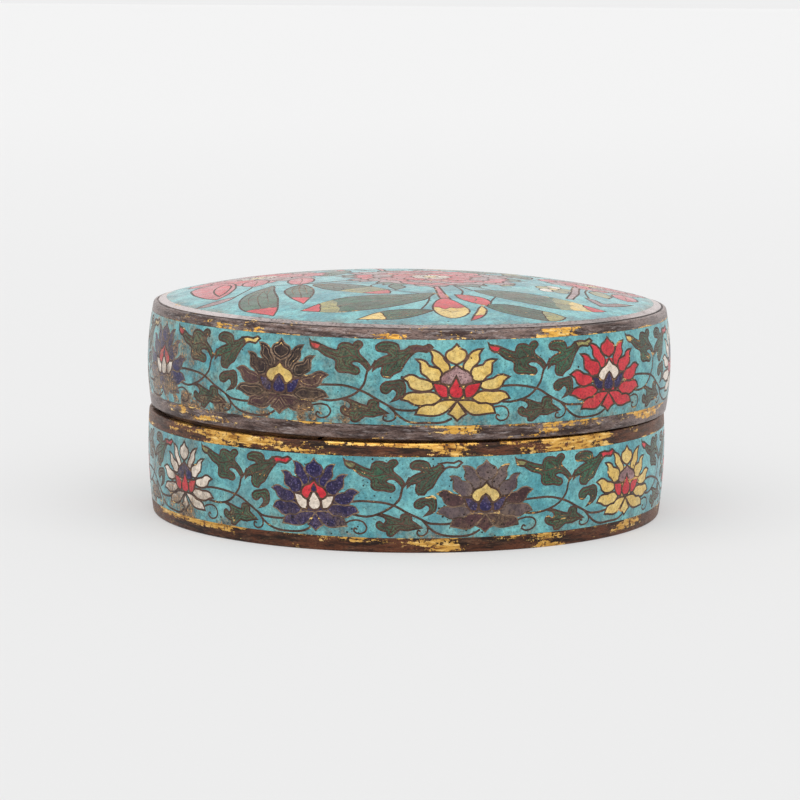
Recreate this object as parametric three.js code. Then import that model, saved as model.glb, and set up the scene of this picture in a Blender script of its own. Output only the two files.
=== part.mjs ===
// Cloisonne enamel box: a low round copper box with a lift-off lid, both covered in enamel
// between worn gilt rims. Millimetres, +Z up. The origin is on the axis of the base, on the
// plane that the foot ring stands on. The front is towards -Y.

import * as THREE from "three";

// ---- Driving dimensions --------------------------------------------------------------------

const RING_FACETS = 60; // facets round every turned piece

// The base: foot, lower gilt rim, enamel band, upper gilt rim.
const BASE = {
  height: 24.9,
  belly: 62.36, // widest radius of the outer wall
  bellyAt: 16.5, // height of the widest radius
  drawIn: 0.0042, // fall of the radius per mm squared away from the belly
  wall: 2.0, // copper and enamel together
  bandFrom: 3.4, // enamel band, lower edge
  bandTo: 21.8, // enamel band, upper edge
};
const FOOT_WIDTH = 2.8; // flat width of the foot ring
const FOOT_RECESS = 1.2; // how far the underside is sunk inside the foot ring
const FLOOR_THICKNESS = 1.6;

// The lid, measured from its own lower edge.
const LID = {
  height: 24.55, // up to the outer edge of the shoulder bevel
  belly: 62.95,
  bellyAt: 10.75,
  drawIn: 0.0075,
  wall: 1.7,
  bandFrom: 3.4,
  bandTo: 22.45,
};
const SHOULDER_RADIUS = 61.0; // outer edge of the bevel on the shoulder
const SHOULDER_ROUND = 0.65; // height of the rounding below that edge
const DOME_RADIUS = 58.5; // border between the bevel and the enamelled dome
const DOME_FOOT = 25.35; // height of that border
const DOME_RISE = 5.34; // rise of the dome above its border
const DOME_FULLNESS = 2.6; // exponent of the dome's curve: 2 is a parabola
const DOME_COPPER = 1.2; // copper under the enamel of the dome

// How the lid sits: a little high on one side and a little off centre.
const SEAT_GAP = 0.65; // gap between the two rims on the axis
const SEAT_TILT_DEG = 0.42; // the side towards -X is the high one
const SEAT_SHIFT = 0.45; // towards +X

// Enamel, set flush in sunk fields of the copper.
const ENAMEL_DEPTH = 0.8;
const FIELD_GAP = 0.15; // room between an enamel piece and the copper round it

// The upright ring soldered inside the base, which the lid drops over.
const FLANGE = {
  radius: 59.75, // outer
  thickness: 1.2,
  from: 20.0,
  to: 28.4,
  jointAt: -20.2, // degrees from the front, towards +X
  jointWidth: 1.1, // the open joint between the ring's two ends
  jointSlant: 1.4, // sideways run of the slanting joint per mm of height
};

const EDGE_ROUND = 0.45; // rounding of the rims' outer edges
const CORNER_FILLET = 3.0; // inside, between wall and floor or ceiling
const WALL_STEPS = 4; // straight steps that follow the bulge of an enamel band
const DOME_STEPS = 5;
const FILLET_STEPS = 3;

// ---- Materials -----------------------------------------------------------------------------

const wornGiltCopper = new THREE.MeshStandardMaterial({
  name: "worn_gilt_copper",
  color: 0x5a4638,
  roughness: 0.5,
  metalness: 0.85,
});
const flangeCopper = new THREE.MeshStandardMaterial({
  name: "flange_copper",
  color: 0x6b4a2a,
  roughness: 0.55,
  metalness: 0.85,
});
const bandEnamel = new THREE.MeshStandardMaterial({
  name: "band_enamel",
  color: 0x4aa5ac,
  roughness: 0.35,
  metalness: 0.0,
});
const domeEnamel = new THREE.MeshStandardMaterial({
  name: "dome_enamel",
  color: 0x66b3c0,
  roughness: 0.35,
  metalness: 0.0,
});

// ---- Profiles ------------------------------------------------------------------------------
// A profile is a list of [radius, height] points, up the outside and down the inside.

// Radius of the bulging outer wall of the base or the lid at a height.
function wallRadius(part, z) {
  return part.belly - part.drawIn * (z - part.bellyAt) ** 2;
}

// The outer wall, set in by a depth, from one height to another in a few straight steps.
function wallLine(part, from, to, depth, steps) {
  const points = [];
  for (let i = 0; i <= steps; i++) {
    const z = from + ((to - from) * i) / steps;
    points.push([wallRadius(part, z) - depth, z]);
  }
  return points;
}

// The outer wall between two heights, with its enamel band sunk into it.
function walledBand(part, from, to) {
  const { bandFrom, bandTo } = part;
  return [
    ...wallLine(part, from, bandFrom, 0, 1),
    ...wallLine(part, bandFrom, bandTo, ENAMEL_DEPTH, WALL_STEPS),
    ...wallLine(part, bandTo, to, 0, 1),
  ];
}

// The enamel that fills a sunk band.
function bandFilling(part) {
  const from = part.bandFrom + FIELD_GAP;
  const to = part.bandTo - FIELD_GAP;
  const back = ENAMEL_DEPTH - FIELD_GAP;
  const outside = wallLine(part, from, to, 0, WALL_STEPS);
  const inside = wallLine(part, from, to, back, WALL_STEPS).reverse();
  return [...outside, ...inside];
}

// A quarter round from one end of its curve to the other, inside a corner.
function fillet(cornerRadius, cornerHeight, size, towards) {
  const points = [];
  for (let i = 0; i <= FILLET_STEPS; i++) {
    const turn = ((Math.PI / 2) * i) / FILLET_STEPS;
    const inward = size * (1 - Math.cos(turn));
    const off = size * (1 - Math.sin(turn));
    points.push([cornerRadius - inward, cornerHeight + towards * off]);
  }
  return points;
}

// Height of the dome, lowered by a depth, from its border to the axis.
function domeLine(radius, depth) {
  const points = [];
  for (let i = 0; i <= DOME_STEPS; i++) {
    const r = radius * (1 - i / DOME_STEPS);
    const fall = (r / DOME_RADIUS) ** DOME_FULLNESS;
    points.push([r, DOME_FOOT + DOME_RISE * (1 - fall) - depth]);
  }
  return points;
}

// ---- Turned and drawn pieces ---------------------------------------------------------------

// A solid of revolution round Z.
function turned(name, profile, material) {
  const outline = profile.map(([radius, z]) => new THREE.Vector2(radius, z));
  const geometry = new THREE.LatheGeometry(outline, RING_FACETS);
  geometry.rotateX(Math.PI / 2);
  const mesh = new THREE.Mesh(geometry, material);
  mesh.name = name;
  return mesh;
}

function baseBody() {
  const floorTop = FOOT_RECESS + FLOOR_THICKNESS;
  const footOuter = wallRadius(BASE, 0) - EDGE_ROUND;
  const footInner = footOuter - FOOT_WIDTH;
  const rimOuter = wallRadius(BASE, BASE.height) - EDGE_ROUND;
  const innerFoot = wallRadius(BASE, floorTop) - BASE.wall;
  const filletTop = floorTop + CORNER_FILLET;
  return turned(
    "base_body",
    [
      [0, FOOT_RECESS],
      [footInner - FOOT_RECESS / 2, FOOT_RECESS],
      [footInner, 0],
      [footOuter, 0],
      ...walledBand(BASE, EDGE_ROUND, BASE.height - EDGE_ROUND),
      [rimOuter, BASE.height],
      ...wallLine(BASE, BASE.height, filletTop, BASE.wall, 2),
      ...fillet(innerFoot, floorTop, CORNER_FILLET, 1).slice(1),
      [0, floorTop],
    ],
    wornGiltCopper,
  );
}

function lidBody() {
  const roof = ENAMEL_DEPTH + DOME_COPPER; // from the dome's surface down to the ceiling
  const footOuter = wallRadius(LID, 0) - EDGE_ROUND;
  const innerTop = wallRadius(LID, LID.bandTo) - LID.wall;
  const ceiling = domeLine(innerTop - CORNER_FILLET, roof).reverse();
  const ceilingEdge = ceiling[ceiling.length - 1][1];
  const filletFoot = ceilingEdge - CORNER_FILLET;
  return turned(
    "lid_body",
    [
      ...ceiling,
      ...fillet(innerTop, ceilingEdge, CORNER_FILLET, -1).reverse().slice(1, -1),
      ...wallLine(LID, filletFoot, 0, LID.wall, WALL_STEPS),
      [footOuter, 0],
      ...walledBand(LID, EDGE_ROUND, LID.height - SHOULDER_ROUND),
      [SHOULDER_RADIUS, LID.height],
      [DOME_RADIUS, DOME_FOOT],
      ...domeLine(DOME_RADIUS, ENAMEL_DEPTH),
    ],
    wornGiltCopper,
  );
}

// Enamel that fills the sunk band of the base or the lid.
function bandEnamelRing(name, part) {
  const profile = bandFilling(part);
  return turned(name, [...profile, profile[0]], bandEnamel);
}

// Enamel that fills the sunk dome of the lid.
function domeEnamelDisc() {
  const edge = DOME_RADIUS - FIELD_GAP;
  const underside = domeLine(edge, ENAMEL_DEPTH - FIELD_GAP).reverse();
  return turned("lid_enamel_dome", [...underside, ...domeLine(edge, 0)], domeEnamel);
}

// The flange is bent from a strip, so it is an arc with a slanting open joint.
function flangeRing() {
  const inner = FLANGE.radius - FLANGE.thickness;
  const joint = THREE.MathUtils.degToRad(FLANGE.jointAt - 90);
  const halfJoint = FLANGE.jointWidth / 2 / FLANGE.radius;
  const start = joint + halfJoint;
  const end = joint + 2 * Math.PI - halfJoint;
  const arc = new THREE.Shape();
  arc.absarc(0, 0, FLANGE.radius, start, end, false);
  arc.absarc(0, 0, inner, end, start, true);
  const height = FLANGE.to - FLANGE.from;
  const geometry = new THREE.ExtrudeGeometry(arc, {
    depth: height,
    bevelEnabled: false,
    curveSegments: RING_FACETS / 2,
  });
  // Turning each level a little more than the one below slants both ends alike.
  const position = geometry.getAttribute("position");
  const point = new THREE.Vector3();
  const axis = new THREE.Vector3(0, 0, 1);
  const rim = BASE.height - FLANGE.from;
  for (let i = 0; i < position.count; i++) {
    point.fromBufferAttribute(position, i);
    const slant = ((point.z - rim) * FLANGE.jointSlant) / FLANGE.radius;
    point.applyAxisAngle(axis, slant);
    position.setXYZ(i, point.x, point.y, point.z);
  }
  const mesh = new THREE.Mesh(geometry, flangeCopper);
  mesh.name = "base_flange";
  mesh.position.z = FLANGE.from;
  return mesh;
}

// ---- Assembly ------------------------------------------------------------------------------

const base = new THREE.Group();
base.add(baseBody(), bandEnamelRing("base_enamel_band", BASE), flangeRing());

const lid = new THREE.Group();
lid.add(lidBody(), bandEnamelRing("lid_enamel_band", LID), domeEnamelDisc());
lid.position.set(SEAT_SHIFT, 0, BASE.height + SEAT_GAP);
lid.rotation.y = THREE.MathUtils.degToRad(SEAT_TILT_DEG);

const box = new THREE.Group();
box.add(base, lid);

export default box;
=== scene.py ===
# Cloisonne enamel box with a lift-off cover: turned copper bodies with worn gilding, two enamel
# bands of lotus scroll and an enamelled dome of leaves, fruit and blossom. Sizes are in
# millimetres, turned into metres where a mesh is made. The front is towards -Y.

import math

import bpy
import numpy as np
from mathutils import Matrix, Vector, noise
from mathutils.geometry import delaunay_2d_cdt


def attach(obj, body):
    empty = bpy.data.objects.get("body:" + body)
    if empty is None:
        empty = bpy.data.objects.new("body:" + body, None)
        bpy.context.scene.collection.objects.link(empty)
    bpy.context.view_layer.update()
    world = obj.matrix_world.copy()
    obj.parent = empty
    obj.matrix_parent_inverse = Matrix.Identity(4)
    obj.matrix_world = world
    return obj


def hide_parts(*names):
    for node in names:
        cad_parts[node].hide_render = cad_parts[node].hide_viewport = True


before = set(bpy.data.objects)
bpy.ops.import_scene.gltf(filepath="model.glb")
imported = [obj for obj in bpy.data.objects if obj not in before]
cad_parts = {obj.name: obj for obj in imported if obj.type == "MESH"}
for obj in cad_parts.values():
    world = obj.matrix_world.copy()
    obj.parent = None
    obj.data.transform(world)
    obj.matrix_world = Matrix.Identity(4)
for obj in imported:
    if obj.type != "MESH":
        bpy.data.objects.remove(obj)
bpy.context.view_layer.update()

MM = 0.001
FULL_TURN = math.tau
SMOOTH_ANGLE = math.radians(28)  # edges that turn more than this stay sharp
noise.seed_set(7)  # so that the pattern wanders in the same way every time

# ---- Sizes of the box ------------------------------------------------------------------------

RING_STEPS = 240  # facets round every turned piece
BASE = dict(height=24.9, belly=62.36, belly_at=16.5, draw_in=0.0042, wall=2.0, band=(3.4, 21.8))
LID = dict(height=24.55, belly=62.95, belly_at=10.75, draw_in=0.0075, wall=1.7, band=(3.4, 22.45))
FOOT_WIDTH = 2.8
FOOT_RECESS = 1.2
FLOOR_THICKNESS = 1.6
FOOT_FILLET = 0.6
FOOT_ROUND = 0.3
EDGE_ROUND = 0.45
FINE_ROUND = 0.25  # on inner edges and the flange
CORNER_FILLET = 3.0
ENAMEL_DEPTH = 0.8
JOINT_GAP = 0.03  # between an enamel piece and the copper round it
SHOULDER_ROUND = 0.65
SCRIBED_LINE = [  # cut round the shoulder of the lid, from its outer side inwards
    (60.95, 24.56), (60.8, 24.6), (60.7, 24.4), (60.5, 24.4), (60.4, 24.76), (60.2, 24.82)]
DOME_RADIUS = 58.5
DOME_FOOT = 25.35
DOME_RISE = 5.34
DOME_FULLNESS = 2.6
DOME_COPPER = 1.2
FLANGE = dict(radius=59.75, thickness=1.2, low=20.0, top=28.4)
FLANGE_JOINT_AT = math.radians(-20.2)
FLANGE_JOINT_WIDTH = 1.1
FLANGE_JOINT_SLANT = 1.4

# The lid sits a little off centre, and higher on the side towards -X.
LID_TILT = Matrix.Rotation(math.radians(0.42), 4, "Y")
LID_SEAT = Matrix.Translation((0.45 * MM, 0, 25.55 * MM)) @ LID_TILT


def wall_radius(part, z):
    """Radius of the bulging outer wall at a height."""
    return part["belly"] - part["draw_in"] * (z - part["belly_at"]) ** 2


def wall_line(part, low, high, depth=0.0, steps=8):
    """The outer wall, set in by a depth, from one height to another."""
    heights = [low + (high - low) * i / steps for i in range(steps + 1)]
    return [(wall_radius(part, z) - depth, z) for z in heights]


def dome_height(radius, depth=0.0):
    fall = (radius / DOME_RADIUS) ** DOME_FULLNESS
    return DOME_FOOT + DOME_RISE * (1 - fall) - depth


def dome_line(radius, depth=0.0, steps=16):
    """The dome, lowered by a depth, from a radius in to the axis."""
    radii = [radius * (1 - i / steps) for i in range(steps + 1)]
    return [(r, dome_height(r, depth)) for r in radii]


def arc(radius, height, size, start, end, steps=4):
    """A round stretch of a profile; angles in degrees from straight out, turning up."""
    points = []
    for i in range(steps + 1):
        turn = math.radians(start + (end - start) * i / steps)
        points.append((radius + size * math.cos(turn), height + size * math.sin(turn)))
    return points


# ---- Turning ---------------------------------------------------------------------------------


def leave_edit_mode():
    """Back to whole objects, with nothing chosen."""
    if bpy.context.mode != "OBJECT":
        bpy.ops.object.mode_set(mode="OBJECT")
    bpy.ops.object.select_all(action="DESELECT")


def choose(piece):
    """Makes a piece the one that Blender's tools work on."""
    leave_edit_mode()
    piece.select_set(True)
    bpy.context.view_layer.objects.active = piece


def new_object(name, data):
    made = bpy.data.objects.new(name, data)
    bpy.context.collection.objects.link(made)
    return made


def draw_profile(name, profile):
    """A chain of edges through a profile of (radius, height), drawn towards +X."""
    leave_edit_mode()
    bpy.ops.mesh.primitive_plane_add(size=MM)
    piece = bpy.context.object
    piece.name = name
    piece.data.name = name
    bpy.ops.object.mode_set(mode="EDIT")
    bpy.ops.mesh.select_all(action="SELECT")
    bpy.ops.mesh.merge(type="CENTER")
    at = (0.0, 0.0)
    for step, (radius, height) in enumerate(profile):
        move = ((radius - at[0]) * MM, 0, (height - at[1]) * MM)
        if step == 0:
            bpy.ops.transform.translate(value=move)
        else:
            bpy.ops.mesh.extrude_vertices_move(TRANSFORM_OT_translate={"value": move})
        at = (radius, height)
    bpy.ops.mesh.select_all(action="SELECT")
    return piece


def turned(name, profile):
    """A solid of revolution round the axis."""
    piece = draw_profile(name, profile)
    bpy.ops.mesh.spin(steps=RING_STEPS, angle=FULL_TURN, center=(0, 0, 0), axis=(0, 0, 1))
    bpy.ops.mesh.select_all(action="SELECT")
    bpy.ops.mesh.remove_doubles(threshold=0.01 * MM)
    bpy.ops.mesh.normals_make_consistent(inside=False)
    bpy.ops.object.mode_set(mode="OBJECT")
    bpy.ops.object.shade_smooth_by_angle(angle=SMOOTH_ANGLE)
    return piece


def settle(piece, seat=None):
    """Seats a piece, and leaves its object at the origin with its place in its mesh."""
    choose(piece)
    if seat is not None:
        piece.matrix_world = seat
    bpy.ops.object.transform_apply(location=True, rotation=True, scale=True)


# ---- Copper bodies ---------------------------------------------------------------------------


def band_wall(part, low, high):
    """The outer wall between two heights, with the sunk field that holds the enamel band."""
    band_low, band_high = part["band"]
    return (
        wall_line(part, low, band_low, 0, 3)
        + wall_line(part, band_low, band_high, ENAMEL_DEPTH, 8)
        + wall_line(part, band_high, high, 0, 3)
    )


def lower_edge(part):
    """The rounded outer edge at the foot of a wall."""
    at = wall_radius(part, EDGE_ROUND) - EDGE_ROUND
    return arc(at, EDGE_ROUND, EDGE_ROUND, -90, 0)[:-1]


def make_base_body():
    floor_top = FOOT_RECESS + FLOOR_THICKNESS
    foot_inner = wall_radius(BASE, 0) - EDGE_ROUND - FOOT_WIDTH
    top = BASE["height"]
    rim = wall_radius(BASE, top - EDGE_ROUND) - EDGE_ROUND
    rim_inner = wall_radius(BASE, top) - BASE["wall"]
    corner = wall_radius(BASE, floor_top) - BASE["wall"] - CORNER_FILLET
    profile = [(0, FOOT_RECESS), (foot_inner - 2, FOOT_RECESS)]
    profile += arc(foot_inner - 1.0, FOOT_RECESS - FOOT_FILLET, FOOT_FILLET, 90, 0, 3)
    profile += arc(foot_inner + FOOT_ROUND, FOOT_ROUND, FOOT_ROUND, 180, 270, 3)
    profile += lower_edge(BASE)
    profile += band_wall(BASE, EDGE_ROUND, top - EDGE_ROUND)
    profile += arc(rim, top - EDGE_ROUND, EDGE_ROUND, 0, 90)[1:]
    profile += arc(rim_inner + FINE_ROUND, top - FINE_ROUND, FINE_ROUND, 90, 180, 3)
    profile += wall_line(BASE, top - 1, floor_top + CORNER_FILLET, BASE["wall"], 5)
    profile += arc(corner, floor_top + CORNER_FILLET, CORNER_FILLET, 0, -90, 6)[1:]
    profile += [(corner * 0.5, floor_top), (0, floor_top)]
    return turned("base_copper", profile)


def make_lid_body():
    roof = ENAMEL_DEPTH + DOME_COPPER
    inner_top = wall_radius(LID, LID["band"][1]) - LID["wall"]
    corner = inner_top - CORNER_FILLET
    ceiling = dome_line(corner, roof)[::-1]
    fillet_at = ceiling[-1][1] - CORNER_FILLET
    shoulder = wall_radius(LID, LID["height"] - SHOULDER_ROUND) - SHOULDER_ROUND
    foot_inner = wall_radius(LID, 0) - LID["wall"]
    profile = ceiling
    profile += arc(corner, fillet_at, CORNER_FILLET, 90, 0, 6)[1:]
    profile += wall_line(LID, fillet_at - 0.5, 0.5, LID["wall"], 6)
    profile += arc(foot_inner + FINE_ROUND, FINE_ROUND, FINE_ROUND, 180, 270, 3)
    profile += lower_edge(LID)
    profile += band_wall(LID, EDGE_ROUND, LID["height"] - SHOULDER_ROUND)
    profile += arc(shoulder, LID["height"] - SHOULDER_ROUND, SHOULDER_ROUND, 0, 75, 5)[1:]
    profile += SCRIBED_LINE + [(DOME_RADIUS, DOME_FOOT)]
    profile += dome_line(DOME_RADIUS, ENAMEL_DEPTH)
    return turned("lid_copper", profile)


def upright(radius, low, high, steps=6):
    """A straight stretch of a profile, up or down, without its first point."""
    return [(radius, low + (high - low) * i / steps) for i in range(1, steps + 1)]


def make_flange():
    """The upright ring inside the base, bent from a strip, with a slanting open joint."""
    outer = FLANGE["radius"]
    inner = outer - FLANGE["thickness"]
    low, top = FLANGE["low"], FLANGE["top"]
    rounds_from = top - FINE_ROUND
    profile = [(inner, low), (outer, low)] + upright(outer, low, rounds_from)
    profile += arc(outer - FINE_ROUND, rounds_from, FINE_ROUND, 0, 90, 3)[1:]
    profile += arc(inner + FINE_ROUND, rounds_from, FINE_ROUND, 90, 180, 3)
    profile += upright(inner, rounds_from, low)[:-1]
    piece = draw_profile("flange_ring", profile)
    bpy.ops.mesh.edge_face_add()
    gap = FLANGE_JOINT_WIDTH / outer
    start = FLANGE_JOINT_AT - math.pi / 2 + gap / 2
    bpy.ops.transform.rotate(value=-start, orient_axis="Z", center_override=(0, 0, 0))
    bpy.ops.mesh.spin(steps=RING_STEPS, angle=FULL_TURN - gap, center=(0, 0, 0), axis=(0, 0, 1))
    bpy.ops.mesh.select_all(action="SELECT")
    bpy.ops.mesh.normals_make_consistent(inside=False)
    bpy.ops.object.mode_set(mode="OBJECT")
    # Each level is turned a little more than the one below, which slants both ends alike.
    rim = BASE["height"]
    for vertex in piece.data.vertices:
        slant = (vertex.co.z / MM - rim) * FLANGE_JOINT_SLANT / outer
        vertex.co.rotate(Matrix.Rotation(slant, 3, "Z"))
    bpy.ops.object.shade_smooth_by_angle(angle=SMOOTH_ANGLE)
    return piece


# ---- Enamel drawing --------------------------------------------------------------------------
# The pattern is drawn flat, in millimetres, as the wires are bent on the copper: closed cells,
# each of one enamel, and loose wires. A point with a third number is a sharp corner.

C = 1
WIRE = 0.48
STEM_WIRE = 0.54
TENDRIL_WIRE = 0.42
FINE_WIRE = 0.3
VEIN_WIRE = 0.28
HAIR_WIRE = 0.22
CONTOUR_WIRE = 0.2  # the finest, within a petal or a leaf
PITCH = 39.5  # from one lotus to the next along the lid's band
LOTUS_REACH = 9  # how far to either side of a lotus the scroll is never stretched
WANDER = 0.45  # how far a hand strays from the pattern
DEGREE = math.radians(1) * 62.5  # millimetres along a band for one degree


class Drawing:
    """Shapes in the order in which they cover one another: (outline, enamel)."""

    def __init__(self):
        self.shapes = []

    def fill(self, outline, enamel):
        self.shapes.append((outline, enamel))

    def cell(self, outline, enamel, wire=WIRE, metal="wire", contour=None):
        """A closed cell of enamel with its wire round it, and perhaps a fine wire within."""
        if signed_area(outline) < 0:
            outline = outline[::-1]
        self.fill(beside(outline, -wire / 2, closed=True), metal)
        self.fill(beside(outline, wire / 2, closed=True), enamel)
        if contour:
            self.fill(beside(outline, contour, closed=True), metal)
            self.fill(beside(outline, contour + CONTOUR_WIRE, closed=True), enamel)

    def wire(self, path, width=WIRE, metal="wire"):
        """A loose wire along a path."""
        self.fill(beside(path, -width / 2) + beside(path, width / 2)[::-1], metal)


def signed_area(outline):
    total = 0.0
    for (ax, ay), (bx, by) in zip(outline, outline[1:] + outline[:1]):
        total += ax * by - bx * ay
    return total / 2


def curve(points, closed=True, turn_step=0.42, longest=1.6):
    """A smooth line through points, finer where it turns more."""
    count = len(points)
    line = []
    for i in range(count if closed else count - 1):
        a, b = points[i], points[(i + 1) % count]
        before = points[i - 1]
        after = points[(i + 2) % count]
        if len(a) > 2 or (not closed and i == 0):
            before = (2 * a[0] - b[0], 2 * a[1] - b[1])
        if len(b) > 2 or (not closed and i == count - 2):
            after = (2 * b[0] - a[0], 2 * b[1] - a[1])
        out = ((b[0] - before[0]) / 2, (b[1] - before[1]) / 2)
        home = ((after[0] - a[0]) / 2, (after[1] - a[1]) / 2)
        across = out[0] * home[1] - out[1] * home[0]
        turn = abs(math.atan2(across, out[0] * home[0] + out[1] * home[1]))
        chord = math.hypot(b[0] - a[0], b[1] - a[1])
        steps = max(1, math.ceil(turn / turn_step), math.ceil(chord / longest))
        for k in range(steps):
            t = k / steps
            near, far = 2 * t**3 - 3 * t**2 + 1, 3 * t**2 - 2 * t**3
            leave, arrive = t**3 - 2 * t**2 + t, t**3 - t**2
            line.append(tuple(near * a[j] + far * b[j] + leave * out[j] + arrive * home[j]
                              for j in (0, 1)))
    if not closed:
        line.append(points[-1][:2])
    return line


def beside(line, distance, closed=False):
    """The line that runs beside another, to its left by a distance, mitred at its corners."""
    count = len(line)
    shifted = []
    for i, (x, y) in enumerate(line):
        ax, ay = line[i - 1] if closed or i > 0 else line[i]
        bx, by = line[(i + 1) % count] if closed or i < count - 1 else line[i]
        first = Vector((x - ax, y - ay)) if (ax, ay) != (x, y) else Vector((bx - x, by - y))
        second = Vector((bx - x, by - y)) if (bx, by) != (x, y) else first
        first.normalize()
        second.normalize()
        mitre = first + second
        if mitre.length < 0.2:
            mitre = first.copy()
        mitre.normalize()
        reach = min(1 / max(mitre.dot(second), 0.1), 2.2) * distance
        shifted.append((x - mitre.y * reach, y + mitre.x * reach))
    return shifted


def mirrored(half):
    """A whole outline from the half on the left of the axis, which starts and ends on it."""
    return half + [(-p[0], *p[1:]) for p in reversed(half[1:-1])]


def flipped(points):
    """The same outline on the other side of the axis."""
    return [(-p[0], *p[1:]) for p in reversed(points)]


def halfway(line, other):
    """The line midway between two lines of as many points."""
    return [((a[0] + b[0]) / 2, (a[1] + b[1]) / 2) for a, b in zip(line, other)]


def beyond(line, share):
    """The part of a line beyond a share of its length."""
    lengths = [0.0]
    for a, b in zip(line, line[1:]):
        lengths.append(lengths[-1] + math.hypot(b[0] - a[0], b[1] - a[1]))
    return [p for p, run in zip(line, lengths) if run >= share * lengths[-1]]


def sampled(line, count):
    """Points evenly spread over a line."""
    return [line[round(i * (len(line) - 1) / (count - 1))] for i in range(count)]


def round_cell(x, y, wide, high, count=14):
    turns = [FULL_TURN * i / count for i in range(count)]
    return [(x + wide * math.cos(a), y + high * math.sin(a)) for a in turns]


def pens(drawing, lay):
    """A pen for smooth cells and one for smooth wires. lay turns a point of the pattern into its
    place on the sheet."""

    def cell(points, enamel, wire=WIRE, metal="wire", contour=None):
        drawing.cell([lay(p) for p in curve(points)], enamel, wire, metal, contour)

    def wire(points, width=WIRE, metal="wire"):
        drawing.wire([lay(p) for p in curve(points, closed=False)], width, metal)

    return cell, wire


# A lotus about its centre: the left half of what lies on its axis, and the petals on its left in
# the order in which they are laid.
TOP_PETAL = [(0, 4.3, C), (-1.7, 5.1), (-2.4, 6.3), (-2.0, 7.4), (-0.9, 7.9), (0, 8.9, C)]
SIDE_PETALS = [
    [(-5.2, -0.4), (-6.0, -1.2), (-7.8, -1.5), (-9.2, -1.3), (-10.4, -0.5), (-10.9, 0.6),
     (-12.1, 1.4, C), (-10.6, 2.1), (-9.3, 1.9), (-8.3, 1.3), (-6.8, 1.0), (-5.3, 0.4)],
    [(-3.7, -3.1), (-4.8, -4.0), (-5.8, -4.4), (-7.4, -4.6), (-9.2, -4.5), (-10.7, -3.7),
     (-12.1, -3.4, C), (-11.1, -2.1), (-9.6, -1.7), (-8.2, -1.8), (-6.8, -1.6), (-5.2, -1.7),
     (-3.9, -2.5)],
    [(-4.1, 0.8), (-5.9, 0.7), (-6.8, 1.7), (-7.9, 2.4), (-8.1, 3.5), (-8.1, 4.6), (-9.0, 5.5, C),
     (-7.8, 5.5), (-6.6, 5.0), (-6.0, 4.2), (-5.1, 4.0), (-3.9, 3.7), (-3.3, 2.8), (-3.4, 1.6)],
    [(-0.2, -3.8, C), (-1.0, -4.5), (-2.4, -5.9), (-3.9, -6.8), (-5.6, -7.0), (-7.3, -6.8),
     (-8.9, -6.7, C), (-8.2, -5.1), (-6.7, -4.4), (-5.2, -4.4), (-4.4, -3.8), (-2.7, -3.4),
     (-0.6, -3.4)],
    [(-1.9, 2.4), (-3.0, 2.4), (-3.7, 3.6), (-4.7, 4.4), (-5.3, 5.3), (-5.2, 6.4), (-6.0, 7.8, C),
     (-4.9, 7.7), (-3.8, 7.2), (-3.0, 6.4), (-2.7, 5.6), (-1.8, 4.6), (-1.5, 3.6)],
]
BOTTOM_PETAL = [(0, -3.6, C), (-1.0, -5.0), (-2.1, -6.5, C), (-1.1, -7.0), (0, -8.0, C)]
HEART = [(0, 4.2), (-2.6, 3.4), (-4.2, 1.2), (-4.4, -1.6), (-2.6, -3.6), (0, -4.0)]
DOME_CROWN = [(0, 0), (-2.2, 0), (-3.7, 0.4, C), (-3.6, 1.7), (-2.5, 2.8), (-1.2, 3.3), (0, 4.2, C)]
ARCH_CROWN = [(0, 1.2, C), (-0.9, 0.6), (-1.5, -0.5), (-2.4, -0.7), (-3.6, 0.2), (-3.5, 1.3),
              (-2.5, 2.3), (-1.2, 2.8), (0, 4.0, C)]
DROP = [(0, 2.9, C), (-0.6, 1.9), (-0.7, 1.2), (0, 0.8, C)]
CUP_MIDDLE = [(0, -3.1), (-0.9, -3.0), (-1.7, -2.2), (-1.6, -0.9), (-0.8, 0.3), (0, 1.8, C)]
CUP_SIDE = [(-5.6, 0.5, C), (-4.2, 0.3), (-2.6, 0.0), (-1.9, -1.1), (-2.1, -2.9, C), (-3.5, -2.9),
            (-4.8, -1.6)]

# The scroll between one lotus, at 0, and the next, at PITCH.
STEMS = [
    [(7.6, -1.0), (9.9, -0.7), (12.3, -0.6), (15.9, -0.8), (19.4, -1.7), (22.3, -3.4), (24.8, -4.9),
     (26.2, -5.6), (28.0, -5.8), (30.2, -5.8), (32.3, -5.5)],
    [(24.8, -4.9), (26.6, -6.8), (28.4, -8.0), (30.5, -8.6), (33.0, -8.7), (35.2, -8.7),
     (36.9, -8.3), (38.4, -7.4)],
    [(7.4, -3.4), (9.4, -3.9), (12.3, -4.2), (15.3, -3.5), (17.7, -2.2), (19.6, -0.1), (20.1, 1.6),
     (20.6, 3.4)],
    [(20.5, 2.7), (21.5, 3.9), (22.1, 5.2)],
]
TENDRILS = [
    [(7.2, -6.2), (8.4, -5.4), (9.8, -5.1), (11.4, -5.4), (12.2, -6.7), (11.6, -7.9), (10.2, -8.3),
     (9.2, -7.7), (9.4, -7.0), (10.0, -7.3)],
    [(25.0, -4.9), (26.1, -6.5), (26.1, -7.7), (25.3, -8.4), (24.3, -8.6), (23.6, -8.1),
     (23.8, -7.3), (24.4, -7.5)],
]
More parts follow.
